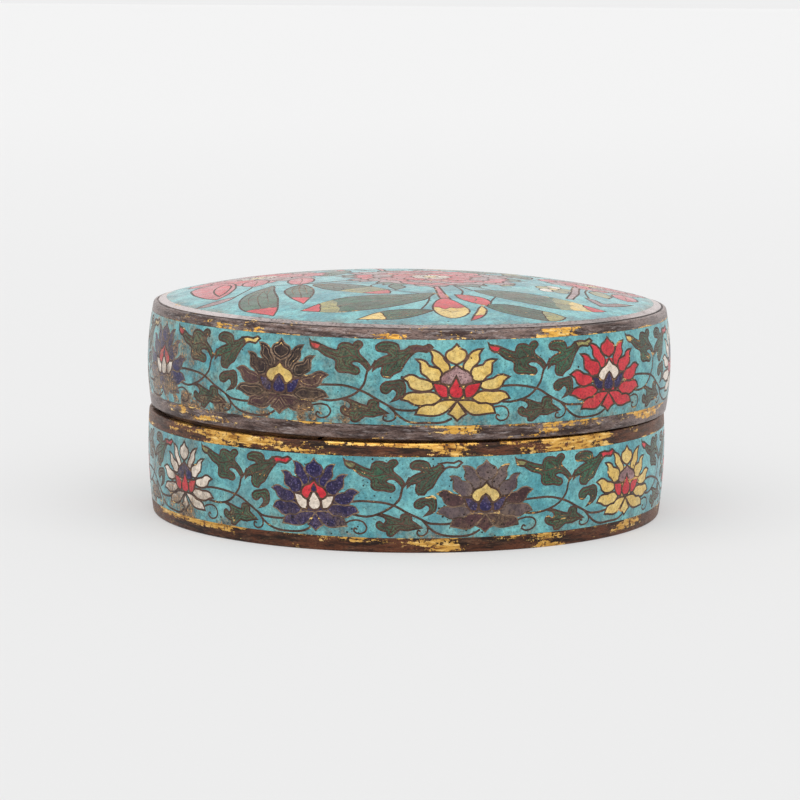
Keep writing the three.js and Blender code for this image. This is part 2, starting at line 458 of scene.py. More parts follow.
HIGH_LEAF = [
    (7.1, 9.1, C), (7.6, 8.6), (8.7, 8.5), (10.2, 8.0), (11.6, 7.4), (13.3, 6.9, C), (13.7, 8.2),
    (14.6, 8.8), (15.9, 8.7), (16.8, 8.3, C), (17.4, 9.0), (18.5, 9.1), (19.0, 8.3), (18.0, 7.4, C),
    (18.2, 6.4), (19.8, 5.1), (20.8, 3.9), (20.5, 2.8, C), (19.5, 3.9), (18.6, 4.6), (17.3, 4.8),
    (16.5, 4.3), (17.1, 3.7), (18.2, 3.3), (18.6, 2.4), (17.8, 1.8), (16.2, 2.1), (14.1, 2.1),
    (13.2, 3.0), (13.3, 4.4), (12.5, 5.1, C), (10.9, 5.7), (10.0, 6.4), (9.3, 7.0, C), (8.4, 7.1),
    (7.5, 7.8)]
HIGH_LEAF_TIP = HIGH_LEAF[:3] + [(9.9, 8.1), (9.6, 7.5)] + HIGH_LEAF[-3:]
NEXT_LEAF = [
    (21.6, 2.8, C), (22.0, 4.6), (23.4, 5.8), (25.0, 6.4, C), (24.3, 7.0), (22.5, 7.2), (22.1, 8.2),
    (23.4, 9.0), (25.2, 9.0), (26.4, 8.5), (26.8, 7.3, C), (28.0, 7.5), (29.1, 8.3), (30.5, 8.5),
    (32.0, 8.3), (33.2, 8.8), (34.0, 8.3, C), (33.4, 7.8), (32.7, 7.2), (31.2, 7.4), (30.2, 7.1),
    (29.1, 6.0), (28.0, 4.4), (27.1, 2.8), (25.9, 2.1), (25.2, 1.2, C), (23.9, 1.4), (23.4, 2.4),
    (23.6, 3.6), (22.6, 3.8)]
NEXT_LEAF_TIP = [(29.1, 8.3, C)] + NEXT_LEAF[13:21] + [(29.4, 6.4, C), (29.8, 7.4)]
HOOK_LEAF = [
    (25.3, -4.0, C), (26.6, -3.5), (28.0, -2.6), (28.3, -1.1), (28.0, 0.3), (27.1, 0.8),
    (25.9, 0.5), (24.4, 0.3), (23.3, -0.6), (23.4, -1.7), (24.4, -2.1), (25.2, -1.6), (25.8, -1.1),
    (26.6, -1.7), (26.6, -2.7), (25.9, -3.5)]
LOW_LEAF = [
    (14.4, -3.8, C), (15.5, -3.6), (17.3, -4.0), (18.7, -4.5), (20.2, -4.9, C), (20.5, -3.7),
    (21.6, -3.4), (22.5, -4.0), (22.5, -5.1, C), (23.4, -5.8), (24.6, -6.7, C), (23.0, -7.0),
    (21.6, -7.4), (19.8, -7.2, C), (18.9, -7.9), (18.0, -8.6), (16.9, -8.5), (16.8, -7.7, C),
    (15.5, -7.4), (14.6, -6.7), (14.6, -5.8), (15.3, -5.4), (16.1, -6.1, C), (16.8, -5.4),
    (16.6, -4.5), (15.6, -4.0)]
VEINS = [
    [(20.0, 3.8), (18.3, 5.4), (16.2, 6.0), (14.2, 5.4), (12.2, 6.2), (10.4, 7.2)],
    [(14.6, 8.0), (15.6, 7.2), (16.6, 6.2)],
    [(16.6, 3.1), (15.2, 3.6), (14.6, 5.0)],
    [(22.6, 3.4), (24.4, 4.4), (26.2, 5.0), (28.0, 6.2), (30.0, 7.6)],
    [(23.0, 8.1), (24.6, 8.0), (25.9, 7.2)],
    [(24.6, 2.2), (25.3, 3.4), (26.3, 4.8)],
    [(26.9, -3.2), (27.6, -1.8), (27.2, -0.4), (26.0, -0.2), (24.6, -0.6)],
    [(15.4, -6.6), (17.6, -6.2), (19.6, -6.0), (22.0, -6.3), (23.6, -6.6)],
    [(21.3, -4.1), (21.0, -5.2), (20.2, -6.0)],
    [(17.6, -8.1), (17.9, -7.2), (18.4, -6.4)],
]

# The kinds of lotus: enamel of petals, crown and cup, whether the crown is a dome over the cup
# or an arch round it, how full the petals are, and how broad the flower. Some have worn bright
# wires, a fine wire within each petal (contour), other low petals, or a drop in the crown.
LOTUS = {
    "white": dict(petal="white", crown="cobalt", cup="red", dome=True, fullness=0.88, breadth=0.95),
    "blue": dict(petal="cobalt", crown="red", cup="white", dome=False, fullness=1.06, breadth=0.92,
                 worn=True, drop=True),
    "purple": dict(petal="aubergine", crown="yellow", cup="cobalt", dome=False, fullness=1.08,
                   breadth=0.96, worn=True, contour=0.55, low_petal="wine"),
    "dusky": dict(petal="ash purple", crown="yellow", cup="cobalt", dome=False, fullness=1.12,
                  breadth=0.98, worn=True, low_petal="wine"),
    "yellow": dict(petal="yellow", crown="rose", cup="red", dome=True, fullness=1.02, breadth=1.0),
    "red": dict(petal="red", crown="white", cup="cobalt", dome=False, fullness=1.06, breadth=0.98),
}


def thinned(petal, fullness):
    """A petal made narrower or fuller about the line from its root to its tip."""
    tip = next(p for p in petal if p[2:] and math.hypot(p[0], p[1]) > 5)
    along = Vector((tip[0], tip[1])).normalized()
    changed = []
    for p in petal:
        place = Vector((p[0], p[1]))
        off = place - along * place.dot(along)
        moved = place - off * (1 - fullness)
        changed.append((moved.x, moved.y, *p[2:]))
    return changed


def draw_lotus(drawing, kind, lay, breadth):
    """One lotus: lay turns a point of the pattern into a point of the band."""
    look = LOTUS[kind]
    breadth = breadth * look["breadth"]

    def broad(point, grow=1.0):
        return lay((point[0] * breadth * grow, point[1] * grow))

    cell, _ = pens(drawing, broad)
    top, low = look["petal"], look.get("low_petal", look["petal"])
    petals = []
    for petal, enamel in zip(SIDE_PETALS, (low, top, top, low, top)):
        petals += [(petal, enamel), (flipped(petal), enamel)]
    petals += [(mirrored(TOP_PETAL), top), (mirrored(BOTTOM_PETAL), low)]
    metal, thickness = ("bright wire", FINE_WIRE) if look.get("worn") else ("wire", WIRE)
    if look["fullness"] >= 1:
        grow = 1.4 if look.get("worn") else 1.0
        drawing.fill([broad(p, grow) for p in curve(mirrored(HEART))], top)
    for petal, enamel in petals:
        cell(thinned(petal, look["fullness"]), enamel, thickness, metal, look.get("contour"))
    if look["dome"]:
        cell(mirrored(DOME_CROWN), look["crown"])
    for cup in (CUP_SIDE, flipped(CUP_SIDE), mirrored(CUP_MIDDLE)):
        cell(cup, look["cup"])
    if not look["dome"]:
        cell(mirrored(ARCH_CROWN), look["crown"])
    if look.get("drop"):
        cell(mirrored(DROP), top, FINE_WIRE)


def draw_scroll(drawing, tips, lay):
    """The stems and leaves from one lotus to the next."""
    cell, wire = pens(drawing, lay)
    for stem in STEMS:
        wire(stem, STEM_WIRE)
    for tendril in TENDRILS:
        wire(tendril, TENDRIL_WIRE)
    for leaf in (LOW_LEAF, HOOK_LEAF, HIGH_LEAF, NEXT_LEAF):
        cell(leaf, "leaf green", contour=0.6)
    for vein in VEINS:
        wire(vein, VEIN_WIRE)
    for tip, enamel in zip((HIGH_LEAF_TIP, NEXT_LEAF_TIP), tips):
        cell(tip, enamel)


def draw_band(places, kinds, tips, centre, squeeze, breadth, seed):
    """A whole band. places are the lotus angles in degrees from the front, one turn of them;
    tips are the enamels of the two leaf tips that follow each lotus. squeeze lowers the pattern
    and breadth narrows the lotuses."""
    drawing = Drawing()
    count = len(places)
    scrolls, flowers = [], []
    for k in range(-count, count + 1):
        turn, index = divmod(k, count)
        next_turn, next_index = divmod(k + 1, count)
        here = (places[index] + 360 * turn) * DEGREE
        there = (places[next_index] + 360 * next_turn) * DEGREE
        # Repeats that don't reach the sheet, which ends at the back, are left out.
        if there < -190 * DEGREE or here > 200 * DEGREE:
            continue
        lay = hand_laid(here, there, centre, squeeze, seed + index)
        scrolls.append((tips[index], lay))
        flowers.append((kinds[index], lay))
    for pair, lay in scrolls:
        draw_scroll(drawing, pair, lay)
    for kind, lay in flowers:
        draw_lotus(drawing, kind, lay, breadth)
    return drawing


def hand_laid(here, there, centre, squeeze, seed):
    """Lays a repeat along the band, stretched between its two lotuses, with a hand's wander."""
    stretch = (there - here) - PITCH

    def lay(point):
        x, y = point
        share = min(max((x - LOTUS_REACH) / (PITCH - 2 * LOTUS_REACH), 0), 1)
        sway = noise.noise_vector(Vector((x * 0.16, y * 0.16, seed * 7.3))) * WANDER
        return here + x + stretch * share + sway.x, centre + y * squeeze + sway.y * 0.8

    return lay


# ---- Pattern of the dome: seen from above, x to the right and y to the back --------------------

TIP_WIRE = 0.34
BRANCH_WIRE = 0.6
TWIG_WIRE = 0.5

# Leaves of the front spray: two sides, tip, and bands of other enamel towards the tip.
FRONT_LEAVES = [
    ([(-34, -17), (-38, -25), (-39.3, -33), (-37.6, -41)],
     [(-32, -17), (-31.6, -25), (-30.6, -33), (-30.4, -42)], (-31, -47.5), [("red", 0.72, True)]),
    ([(-27, -17), (-29.4, -24), (-28.2, -31)], [(-24.5, -17), (-22.8, -23), (-22.4, -31)],
     (-24.6, -39.5), [("red", 0.68, True)]),
    ([(-23, -17), (-20, -24), (-15, -28), (-9, -31.5)],
     [(-18, -16), (-11, -20), (-7, -24), (-5, -28)], (-5.2, -31.5),
     [("faded leaf", 0.52, False), ("red", 0.72, True)]),
    ([(4.5, -30), (-2, -33), (-8, -33.5), (-15, -35.5), (-20, -39.5)],
     [(5, -33), (3, -38), (-3, -44), (-10, -47.6), (-18, -48.5)], (-25, -45.5),
     [("faded leaf", 0.71, False), ("red", 0.79, True)]),
    ([(4, -47), (-1, -46.8), (-6, -48.8)], [(4, -49), (1, -52), (-3, -54.5), (-7, -55)],
     (-12, -54.5), [("yellow", 0.6, True)]),
    ([(18, -40), (22, -38.5), (28, -40.5), (32, -41.5)],
     [(18, -42.5), (21, -45.5), (26, -48), (31, -48.5), (34, -46)], (35, -43.5),
     [("faded leaf", 0.62, True)]),
    ([(16, -23.5), (22, -22.5), (30, -24.5), (36, -26.5), (40, -29)],
     [(16, -27), (20, -31.5), (26, -34.5), (33, -37), (39, -35.5), (43, -34)], (45.5, -31.5),
     [("faded leaf", 0.56, False), ("yellow", 0.68, False), ("red", 0.79, True)]),
]


def draw_leaf(drawing, side_one, side_two, tip, lay, bands=()):
    """A long leaf from its two sides, which run from the root to the tip. Each band is an enamel
    that begins at a share of the leaf's length, with or without a wire round it."""
    root = Vector(side_one[0]).lerp(Vector(side_two[0]), 0.5)
    root += (root - Vector(side_one[1]).lerp(Vector(side_two[1]), 0.5)) * 0.25
    one = curve([(root.x, root.y, C), *side_one, (*tip, C)], closed=False)
    two = curve([(root.x, root.y, C), *side_two, (*tip, C)], closed=False)
    drawing.cell([lay(p) for p in one + two[::-1][1:]], "leaf green")
    for enamel, share, wired in bands:
        end = beyond(one, share) + beyond(two, share + 0.06)[::-1][1:]
        low, high = Vector(end[-1]), Vector(end[0])
        # Its near edge is wavy and bulges towards the root.
        bulge = (low.lerp(high, 0.5) - Vector(tip)).normalized() * (0.4 if wired else 1.0)
        for part, sway in ((0.25, 0.8), (0.5, 0.4), (0.75, 1.0)):
            join = low.lerp(high, part) + bulge * sway
            end.append((join.x, join.y))
        end = [lay(p) for p in end]
        if wired:
            drawing.cell(end, enamel, TIP_WIRE)
        else:
            drawing.cell(end, enamel, 0.16, enamel)
    _, wire = pens(drawing, lay)
    middle = halfway(sampled(one, 9), sampled(two, 9))
    wire(middle[:7], FINE_WIRE, "bright wire")
    for side in (one, two):
        vein = halfway(sampled(side, 9), middle)
        wire(vein[1:6], HAIR_WIRE, "bright wire")
        for k in (2, 3, 4):
            drawing.wire([lay(middle[k - 1]), lay(vein[k])], CONTOUR_WIRE, "bright wire")


def draw_front_spray(drawing, lay):
    """Leaves, fruit and pods that hang forward from the blossom."""
    cell, wire = pens(drawing, lay)
    wire([(-8, -6), (-18, -12), (-26, -14), (-33.5, -14.5)], BRANCH_WIRE)
    wire([(-12, -9), (-20, -13.5), (-25.7, -14.5)], TWIG_WIRE)
    wire([(-6, -12), (-14, -14.5), (-21.5, -15.5)], TWIG_WIRE)
    wire([(8, -14), (11, -19), (14.5, -25)], BRANCH_WIRE)
    wire([(10, -18), (12, -26), (12, -31)])
    wire([(-6, -16), (-9, -21), (-3, -28), (4, -33), (3.6, -41), (2, -48)])
    wire([(14, -18), (20, -24), (19, -34), (17.6, -41)])
    cell([(5.0, -16, C), (6.4, -16, C), (7.2, -26), (9.4, -36, C), (7.0, -36, C), (5.8, -26)],
         "pink")
    cell([(-3.4, -17, C), (-5, -21), (-3.6, -26.5, C), (-1.4, -22)], "leaf green")
    for side_one, side_two, tip, bands in FRONT_LEAVES:
        draw_leaf(drawing, side_one, side_two, tip, lay, bands)
    cell([(10.4, -31, C), (13.6, -31.3), (17, -33.6), (18.5, -37.6), (17.4, -41, C), (14.4, -39.2),
          (11.6, -35.5)], "red")
    wire([(14.6, -32.6), (15.4, -35.4), (14.8, -37.4)], TIP_WIRE, "bright wire")
    cell([(16.2, -41.5, C), (17.3, -44.5), (17.1, -48.5), (15.8, -51.5), (13.7, -53.6, C),
          (14.2, -50.5), (15.0, -47), (15.4, -44)], "yellow")
    cell([(17.0, -49, C), (15.8, -51.5), (13.7, -53.6, C), (14.3, -50.3, C)], "red", TIP_WIRE)
    cell([(8.2, -35.6), (6.2, -37.6), (5.1, -41.5), (4.9, -46), (6.2, -50.8), (9, -53),
          (12, -51), (13.3, -47), (11.9, -42.4), (10.1, -38)], "yellow")
    cell([(8.2, -35.6), (6.2, -37.6), (5.1, -41.5), (4.9, -45, C), (6.2, -44.6), (7.6, -46.4),
          (8.8, -44.6), (10.4, -45.2), (12.3, -43.4, C), (11.4, -41), (10.1, -38)], "red",
         FINE_WIRE)
    wire([(6.6, -48.2), (8.0, -47.2), (9.0, -48.6), (10.6, -47.4)], HAIR_WIRE)


# The left half of a ruffled petal, in shares of its width and its reach.
BLOSSOM_PETAL = [(0, 0.1, C), (0.42, 0.42), (0.52, 0.72), (0.34, 0.93), (0.14, 0.9), (0, 1, C)]


def draw_blossom(drawing, lay, x, y, rings):
    """A blossom about a point, from rings of ruffled petals: (enamels, reach, width)."""
    for ring, (enamels, reach, width) in enumerate(rings):
        for k, enamel in enumerate(enamels):
            turn = FULL_TURN * (k + 0.5 * (ring % 2)) / len(enamels)

            def spun(p, turn=turn):
                across, out = p
                return lay((across * math.cos(turn) - out * math.sin(turn) + x,
                            (across * math.sin(turn) + out * math.cos(turn)) * 0.92 + y))

            cell, wire = pens(drawing, spun)
            cell(mirrored([(-width * out, reach * along, *corner)
                           for out, along, *corner in BLOSSOM_PETAL]), enamel)
            for lean in (-0.16, 0.0, 0.16):
                vein = [(lean * width, reach * 0.5), (lean * width * 1.4, reach * 0.82)]
                wire(vein, HAIR_WIRE, "bright wire")
    drawing.cell([lay(p) for p in round_cell(x, y, 2.0, 1.9)], "yellow")


PEONY = [
    (["rose", "leaf green"] * 6, 23, 8.5),
    (["pink", "rose", "red", "rose", "pink", "rose", "pink", "rose", "red"], 19.5, 14),
    (["rose", "pink"] * 4, 15, 11), (["pink", "red"] * 4, 10.5, 7.4), (["white"] * 5, 5.4, 4.6),
]
SMALL_PEONY = [
    (["pink", "rose"] * 4, 18, 10), (["rose", "pink", "red"] * 2, 12, 8.5), (["white"] * 5, 5, 4)]


def draw_side_sprig(drawing, lay):
    """A smaller blossom to either side, with forked stems, narrow leaves, buds and a small pale
    flower."""
    cell, wire = pens(drawing, lay)
    wire([(-10, 0), (-20, 3), (-30, 6)], BRANCH_WIRE)
    wire([(20, 0), (30, 3), (40, 8)], BRANCH_WIRE)
    wire([(-40.6, -24), (-38, -17), (-37, -8)], TWIG_WIRE)
    draw_leaf(drawing, [(-22, 2), (-23, 9), (-20, 16)], [(-18, 2), (-15, 9), (-15, 15)], (-17, 22),
              lay, [("red", 0.75, True)])
    draw_leaf(drawing, [(26, 5), (23, 11), (23, 17)], [(29, 6), (29.5, 12), (28, 17)], (25, 23),
              lay, [("faded leaf", 0.6, False)])
    cell([(36.2, -24, C), (37.8, -15), (39.4, 0, C), (41.0, 0, C), (39.6, -15), (37.8, -24, C)],
         "rose")
    wire([(42, -20), (41.4, -12), (43, 0)], TWIG_WIRE)
    draw_blossom(drawing, lay, -37, 7, SMALL_PEONY)
    draw_blossom(drawing, lay, 44, 8, [(enamels, reach * 0.78, width * 0.8)
                                       for enamels, reach, width in SMALL_PEONY])
    cell([(41, -19, C), (42.3, -23), (44, -27, C), (47, -25), (50, -21.5), (52.4, -17, C),
          (48.5, -20), (45.2, -23.4), (43.4, -20.5)], "rose")
    wire([(44, -26), (47.5, -23.4), (51, -19.5)], FINE_WIRE, "bright wire")
    for k in range(5):
        turn = FULL_TURN * k / 5 + 0.3
        petal = round_cell(34 + 2.6 * math.cos(turn), -12 + 3.2 * math.sin(turn), 2.0, 2.4, 12)
        drawing.cell([lay(p) for p in petal], "white" if k % 2 else "faded leaf", TIP_WIRE)
    drawing.cell([lay(p) for p in round_cell(34, -12, 1.3, 1.5, 10)], "yellow", TIP_WIRE)
    cell([(19.5, -7, C), (22, -5.5), (24.6, -8), (24, -13), (21.4, -15, C), (20, -11)],
         "faded leaf")
    cell([(-46, 4, C), (-51.8, -3), (-51.6, -12), (-48.6, -20.5), (-45.2, -25, C), (-42.4, -20),
          (-41.2, -11), (-42.6, -2)], "pink")
    cell([(-44.8, -1, C), (-46.4, -8), (-45.8, -16), (-44.6, -21.5, C), (-42.9, -16), (-42.6, -7)],
         "red")
    for x, y, high in [(-37, -6, 7), (-26, -8, 7.5), (51.4, -7, 5.5)]:
        cell([(x, y + high, C), (x - 2.8, y + high * 0.4), (x - 2.6, y - high * 0.5),
              (x, y - high, C), (x + 2.8, y - high * 0.4), (x + 2.9, y + high * 0.5)], "pink")
        wire([(x, y - high * 0.7), (x + 0.4, y), (x, y + high * 0.6)], 0.26, "bright wire")
    cell([(45, -4, C), (42.6, -8), (44, -13), (46.5, -14.5, C), (48, -9)], "faded leaf")
    cell([(-49.5, -31.5, C), (-46, -31.6), (-42.4, -28), (-40.6, -24, C), (-44, -26),
          (-47, -28.6)], "rose")


def swayed(seed):
    """Lays the dome's pattern with a hand's wander."""

    def lay(point):
        sway = noise.noise_vector(Vector((point[0] * 0.1, point[1] * 0.1, seed))) * 0.6
        return point[0] + sway.x, point[1] + sway.y

    return lay


def turned_about(seed, angle, grow):
    """Lays the dome's pattern turned about its middle by degrees, and grown."""
    cos, sin = math.cos(math.radians(angle)), math.sin(math.radians(angle))
    sway = swayed(seed)

    def lay(point):
        x, y = sway(point)
        return (x * cos - y * sin) * grow, (x * sin + y * cos) * grow

    return lay


def draw_dome():
    """The back spray, the side blossoms, the front spray, and the middle blossom over them."""
    drawing = Drawing()
    draw_front_spray(drawing, turned_about(3.1, 184, 0.98))
    draw_side_sprig(drawing, swayed(1.4))
    draw_front_spray(drawing, swayed(0.7))
    draw_blossom(drawing, swayed(2.2), 5, -1, PEONY)
    return drawing


# ---- Laying the enamel -------------------------------------------------------------------------

# The order of the material slots. The first is the ground.
ENAMELS = ["turquoise", "wire", "bright wire", "leaf green", "yellow", "red", "white", "cobalt",
           "aubergine", "rose", "pink", "faded leaf", "wine", "ash purple"]
ROW_SPACING = 0.87  # of the spacing in a row, which makes the triangles near equal-sided
CUT_TOLERANCE = 0.0001


def within(places, outline):
    """Which places lie inside an outline that runs anticlockwise."""
    x, y = places[:, 0:1], places[:, 1:2]
    ends = np.array(outline)
    ax, ay = ends[:, 0], ends[:, 1]
    bx, by = np.roll(ax, -1), np.roll(ay, -1)
    side = (bx - ax) * (y - ay) - (x - ax) * (by - ay)
    up = (ay <= y) & (by > y) & (side > 0)
    down = (ay > y) & (by <= y) & (side < 0)
    return up.sum(axis=1) - down.sum(axis=1) > 0


def cut_sheet(drawing, borders, covers, spacing, box):
    """Cuts a flat sheet along every line of the drawing. Returns its points, its triangles and
    the enamel of each triangle."""
    points, edges = [], []

    def chain(line, closed):
        first, count = len(points), len(line)
        points.extend(line)
        links = count if closed else count - 1
        edges.extend((first + i, first + (i + 1) % count) for i in range(links))

    for outline, _ in drawing.shapes:
        chain(outline, True)
    for line in borders:
        chain(line, False)
    # Further points between the lines let the triangles follow the curved copper.

    def patch(x, y):
        return round(x / spacing * 2), round(y / spacing * 2)

    taken = {patch(x, y) for x, y in points}
    (low_x, low_y), (high_x, high_y) = box
    rows = int((high_y - low_y) / (spacing * ROW_SPACING))
    for row in range(rows + 1):
        y = low_y + (high_y - low_y) * row / rows
        for column in range(int((high_x - low_x) / spacing) + 1):
            x = low_x + (column + 0.5 * (row % 2)) * spacing
            if patch(x, y) not in taken and covers(np.array([[x, y]]))[0]:
                points.append((x, y))
    flat = delaunay_2d_cdt([Vector(p) for p in points], edges, [], 0, CUT_TOLERANCE, False)
    places = np.array([v[:] for v in flat[0]])
    triangles = np.array(flat[2])
    middles = places[triangles].mean(axis=1)
    kept = covers(middles)
    triangles, middles = triangles[kept], middles[kept]
    enamel = np.zeros(len(triangles), dtype=np.int32)
    for outline, name in drawing.shapes:
        ends = np.array(outline)
        near = np.all((middles >= ends.min(axis=0)) & (middles <= ends.max(axis=0)), axis=1)
        near = np.flatnonzero(near)
        if len(near):
            enamel[near[within(middles[near], outline)]] = ENAMELS.index(name)
    used, renumbered = np.unique(triangles, return_inverse=True)
    return places[used], renumbered.reshape(-1, 3), enamel


def lay_sheet(name, places, triangles, enamel, shape):
    """Makes the sheet a mesh on the curved copper. Leaves its border selected in edit mode, and
    returns it with the number of its faces, which are all its front."""
    mesh = bpy.data.meshes.new(name)
    mesh.from_pydata([shape(x, y) for x, y in places], [], triangles.tolist())
    mesh.polygons.foreach_set("material_index", enamel)
    piece = new_object(name, mesh)
    choose(piece)
    bpy.ops.object.mode_set(mode="EDIT")
    bpy.ops.mesh.select_all(action="SELECT")
    bpy.ops.mesh.remove_doubles(threshold=0.0005 * MM)
    bpy.ops.mesh.select_all(action="DESELECT")
    bpy.ops.mesh.select_mode(type="EDGE")
    bpy.ops.mesh.select_non_manifold(
        extend=False, use_wire=False, use_multi_face=False, use_non_contiguous=False,
        use_verts=False,
    )
    bpy.ops.object.mode_set(mode="OBJECT")
    fronts = len(mesh.polygons)
    bpy.ops.object.mode_set(mode="EDIT")
    return piece, fronts


def read_all(items, field, kind=np.float64, width=1):
    """One field of all the vertices, corners or faces of a mesh, as an array."""
    values = np.empty(len(items) * width, dtype=kind)
    items.foreach_get(field, values)
    return values.reshape(-1, width) if width > 1 else values


def finish_enamel(piece, normal_at, flat_place, fronts):
    """Gives every corner of the front, which is ground smooth, the true normal of the surface,
    and lays out the map that the colours are baked through."""
    mesh = piece.data
    corner = read_all(mesh.loops, "vertex_index", np.int32)
    places = read_all(mesh.vertices, "co", width=3)[corner]
    totals = read_all(mesh.polygons, "loop_total", np.int32)
    face = np.repeat(np.arange(len(totals)), totals)
    normals = read_all(mesh.polygons, "normal", width=3)[face]
    front = face < fronts
    normals[front] = normal_at(places[front])
    for polygon in mesh.polygons:
        polygon.use_smooth = True
    mesh.normals_split_custom_set(normals)
    centres = read_all(mesh.polygons, "center", width=3)[face]
    layer = mesh.uv_layers.new(name="OFBake")
    layer.data.foreach_set("uv", flat_place(places, centres, front).ravel())


def make_band(name, part, drawing):
    """An enamel band: the ground and polished face, then its edges and back."""
    low, high = part["band"][0] + JOINT_GAP, part["band"][1] - JOINT_GAP
    length = 360 * DEGREE
    start = -length / 2

    def shape(x, y):
        angle = x / length * FULL_TURN - math.pi / 2
        radius = wall_radius(part, y)
        return radius * math.cos(angle) * MM, radius * math.sin(angle) * MM, y * MM

    columns = [start + length * i / RING_STEPS for i in range(RING_STEPS + 1)]
    borders = [[(x, y) for x in columns] for y in (low, high)]
    rows = [low + (high - low) * i / 12 for i in range(13)]
    borders += [[(start + length * quarter / 4, y) for y in rows] for quarter in range(5)]

    def covers(points):
        x, y = points[:, 0], points[:, 1]
        return (x > start) & (x < -start) & (y > low) & (y < high)

    sheet = cut_sheet(drawing, borders, covers, 1.6, ((start, low), (-start, high)))
    piece, fronts = lay_sheet(name, *sheet, shape)
    depth = ENAMEL_DEPTH - JOINT_GAP
    shrink = 1 - depth / part["belly"]
    bpy.ops.mesh.extrude_edges_move()
    bpy.ops.transform.resize(value=(shrink, shrink, 1), center_override=(0, 0, 0))
    bpy.ops.mesh.bridge_edge_loops()
    bpy.ops.object.mode_set(mode="OBJECT")

    def normal_at(places):
        z = places[:, 2] / MM
        out = np.hypot(places[:, 0], places[:, 1])
        lean = 2 * part["draw_in"] * (z - part["belly_at"])
        normals = np.column_stack([places[:, 0] / out, places[:, 1] / out, lean])
        return normals / np.linalg.norm(normals, axis=1, keepdims=True)

    def flat_place(places, centres, front):
        """Four rows, one for each quarter of the band, and a fifth for its edges and back, with
        margins between them."""
        middle = np.arctan2(centres[:, 1], centres[:, 0])
        angle = np.arctan2(places[:, 1], places[:, 0])
        angle = middle + (angle - middle + math.pi) % FULL_TURN - math.pi
        share = ((middle + math.pi / 2) / FULL_TURN + 0.5) % 1 * 4
        row = np.floor(share)
        along = share - row + (angle - middle) / FULL_TURN * 4
        up = (places[:, 2] / MM - low) / (high - low)
        flat = np.column_stack([0.004 + along * 0.992, (row + 0.03 + up * 0.94) * 0.2])
        around = (middle + math.pi) / FULL_TURN + (angle - middle) / FULL_TURN
        depth_share = (np.hypot(places[:, 0], places[:, 1]) / MM - part["belly"] + 2.5) / 3
        back = np.column_stack([0.01 + around * 0.98, 0.81 + 0.05 * up + 0.1 * depth_share])
        return np.where(front[:, None], flat, back)

    finish_enamel(piece, normal_at, flat_place, fronts)
    return piece


def make_dome(drawing):
    """The enamel dome: the ground and polished face, then its edge and underside."""
    edge = DOME_RADIUS - JOINT_GAP

    def shape(x, y):
        return x * MM, y * MM, dome_height(math.hypot(x, y)) * MM

    rim = []
    for i in range(RING_STEPS + 1):
        angle = FULL_TURN * i / RING_STEPS
        rim.append((edge * math.cos(angle), edge * math.sin(angle)))
    limit = edge * math.cos(math.pi / RING_STEPS)

    def covers(points):
        return np.hypot(points[:, 0], points[:, 1]) < limit

    sheet = cut_sheet(drawing, [rim[:-1] + rim[:1]], covers, 2.2, ((-edge, -edge), (edge, edge)))
    piece, fronts = lay_sheet("enamel_dome", *sheet, shape)
    depth = ENAMEL_DEPTH - JOINT_GAP
    bpy.ops.mesh.extrude_edges_move(TRANSFORM_OT_translate={"value": (0, 0, -depth * MM)})
    # The underside runs parallel to the face, in to the middle.
    radius, steps = edge, 9
    for i in range(1, steps):
        inner = edge * (1 - i / steps)
        rise = (dome_height(inner) - dome_height(radius)) * MM
        bpy.ops.mesh.extrude_edges_move(TRANSFORM_OT_translate={"value": (0, 0, rise)})
        grow = inner / radius
        bpy.ops.transform.resize(value=(grow, grow, 1), center_override=(0, 0, 0))
        radius = inner
    bpy.ops.mesh.edge_face_add()
    bpy.ops.object.mode_set(mode="OBJECT")

    def normal_at(places):
        out = np.maximum(np.hypot(places[:, 0], places[:, 1]) / MM, 0.001)
        slope = DOME_RISE * DOME_FULLNESS * (out / DOME_RADIUS) ** (DOME_FULLNESS - 1) / DOME_RADIUS
        lean = slope / (out * MM)
        normals = np.column_stack([places[:, 0] * lean, places[:, 1] * lean, np.ones(len(out))])
        return normals / np.linalg.norm(normals, axis=1, keepdims=True)

    def flat_place(places, centres, front):
        """The face as seen from above, and the underside small in a corner."""
        plan = places[:, :2] / (2 * DOME_RADIUS * MM)
        return np.where(front[:, None], 0.5 + plan * 0.99, 0.07 + plan * 0.12)

    finish_enamel(piece, normal_at, flat_place, fronts)
    return piece


# ---- Materials: noise scales are cells per metre ------------------------------------------------

MIX_COLOURS = (6, 7)  # a Mix node has several inputs called A and B: these take colours
MIX_RESULT = 2


def tone(code):
    """A colour from its sRGB hex code, as the linear values that Blender uses."""
    parts = [int(code[i:i + 2], 16) / 255 for i in (0, 2, 4)]
    return (*[c / 12.92 if c <= 0.04045 else ((c + 0.055) / 1.055) ** 2.4 for c in parts], 1.0)


